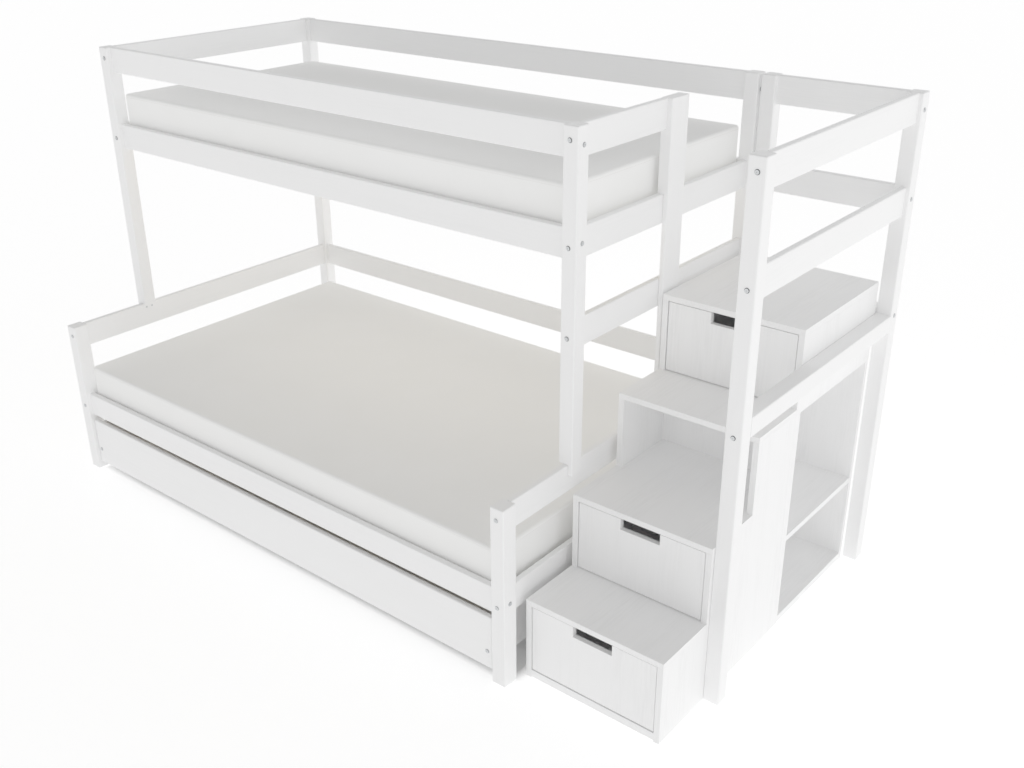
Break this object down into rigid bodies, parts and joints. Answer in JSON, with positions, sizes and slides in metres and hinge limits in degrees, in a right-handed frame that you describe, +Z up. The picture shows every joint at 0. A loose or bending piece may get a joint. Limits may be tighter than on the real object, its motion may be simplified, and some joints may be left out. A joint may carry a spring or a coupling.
{
  "type": "bunk bed with storage stairs",
  "caption": "White bunk bed with a wider lower bunk, guard rails, a roll-out trundle drawer and a stepped storage cabinet with drawers and handrails that leads to the upper bunk.",
  "frame": {"origin": "on the floor, under the middle of the whole object's bounding box", "axes": "+X along the bed towards the stairs, +Y from the open front towards the back, +Z up"},
  "size_m": [2.615, 1.291, 1.557],
  "materials": {
    "white_painted_pine": "white paint, satin, over solid pine",
    "white_painted_board": "white paint, satin, over wood board",
    "bare_pine": "planed, bare",
    "mattress_cover": "woven cotton cover",
    "zinc_steel": "zinc plated, satin",
    "nylon": "moulded nylon"
  },
  "bodies": {
    "frame": {"back_post_left": "white_painted_pine", "back_post_right": "white_painted_pine", "entry_post": "white_painted_pine", "frame_bolts": "zinc_steel", "guard_back": "white_painted_pine", "guard_front": "white_painted_pine", "guard_left": "white_painted_pine", "guard_right": "white_painted_pine", "lower_guard_back": "white_painted_pine", "lower_guard_left": "white_painted_pine", "lower_guard_right": "white_painted_pine", "lower_mattress": "mattress_cover", "lower_post_left": "white_painted_pine", "lower_post_right": "white_painted_pine", "lower_rail_back": "white_painted_pine", "lower_rail_front": "white_painted_pine", "lower_rail_left": "white_painted_pine", "lower_rail_right": "white_painted_pine", "lower_slats": "bare_pine", "middle_rail_right": "white_painted_pine", "slat_cleats": "bare_pine", "stair_back": "white_painted_board", "stair_bar_back": "white_painted_pine", "stair_bar_right": "white_painted_pine", "stair_floor": "white_painted_board", "stair_handrails_back": "white_painted_pine", "stair_handrails_right": "white_painted_pine", "stair_partition": "white_painted_board", "stair_post_back_left": "white_painted_pine", "stair_post_back_right": "white_painted_pine", "stair_post_front": "white_painted_pine", "stair_shelf": "white_painted_board", "stair_side_left": "white_painted_board", "stair_side_right": "white_painted_board", "stair_tread_1": "white_painted_board", "stair_tread_2": "white_painted_board", "stair_tread_3": "white_painted_board", "stair_tread_4": "white_painted_board", "upper_mattress": "mattress_cover", "upper_post_left": "white_painted_pine", "upper_post_right": "white_painted_pine", "upper_rail_back": "white_painted_pine", "upper_rail_front": "white_painted_pine", "upper_rail_left": "white_painted_pine", "upper_rail_right": "white_painted_pine", "upper_slats": "bare_pine"},
    "trundle": {"trundle_front": "white_painted_board", "trundle_side_left": "white_painted_board", "trundle_side_right": "white_painted_board", "trundle_back": "white_painted_board", "trundle_base": "white_painted_board", "castor_brackets": "zinc_steel", "trundle_bolts": "zinc_steel"},
    "wheel_front_left": {"trundle_wheel_front_left": "nylon"},
    "wheel_back_left": {"trundle_wheel_back_left": "nylon"},
    "wheel_front_right": {"trundle_wheel_front_right": "nylon"},
    "wheel_back_right": {"trundle_wheel_back_right": "nylon"},
    "drawer_low": {"drawer_low": "white_painted_board"},
    "drawer_middle": {"drawer_middle": "white_painted_board"},
    "drawer_high": {"drawer_high": "white_painted_board"}
  },
  "joints": [
    {"name": "trundle_slide", "type": "slide", "parent": "frame", "child": "trundle", "axis": [0, -1, 0], "range_m": [0, 0.75]},
    {"name": "wheel_spin_front_left", "type": "hinge", "parent": "trundle", "child": "wheel_front_left", "pos_m": [-1.091, -0.505, 0.025], "axis": [1, 0, 0], "continuous": true},
    {"name": "wheel_spin_back_left", "type": "hinge", "parent": "trundle", "child": "wheel_back_left", "pos_m": [-1.091, 0.177, 0.025], "axis": [1, 0, 0], "continuous": true},
    {"name": "wheel_spin_front_right", "type": "hinge", "parent": "trundle", "child": "wheel_front_right", "pos_m": [0.579, -0.505, 0.025], "axis": [1, 0, 0], "continuous": true},
    {"name": "wheel_spin_back_right", "type": "hinge", "parent": "trundle", "child": "wheel_back_right", "pos_m": [0.579, 0.177, 0.025], "axis": [1, 0, 0], "continuous": true},
    {"name": "drawer_slide_low", "type": "slide", "parent": "frame", "child": "drawer_low", "axis": [0, -1, 0], "range_m": [0, 0.4]},
    {"name": "drawer_slide_middle", "type": "slide", "parent": "frame", "child": "drawer_middle", "axis": [0, -1, 0], "range_m": [0, 0.28]},
    {"name": "drawer_slide_high", "type": "slide", "parent": "frame", "child": "drawer_high", "axis": [0, -1, 0], "range_m": [0, 0.3]}
  ]
}
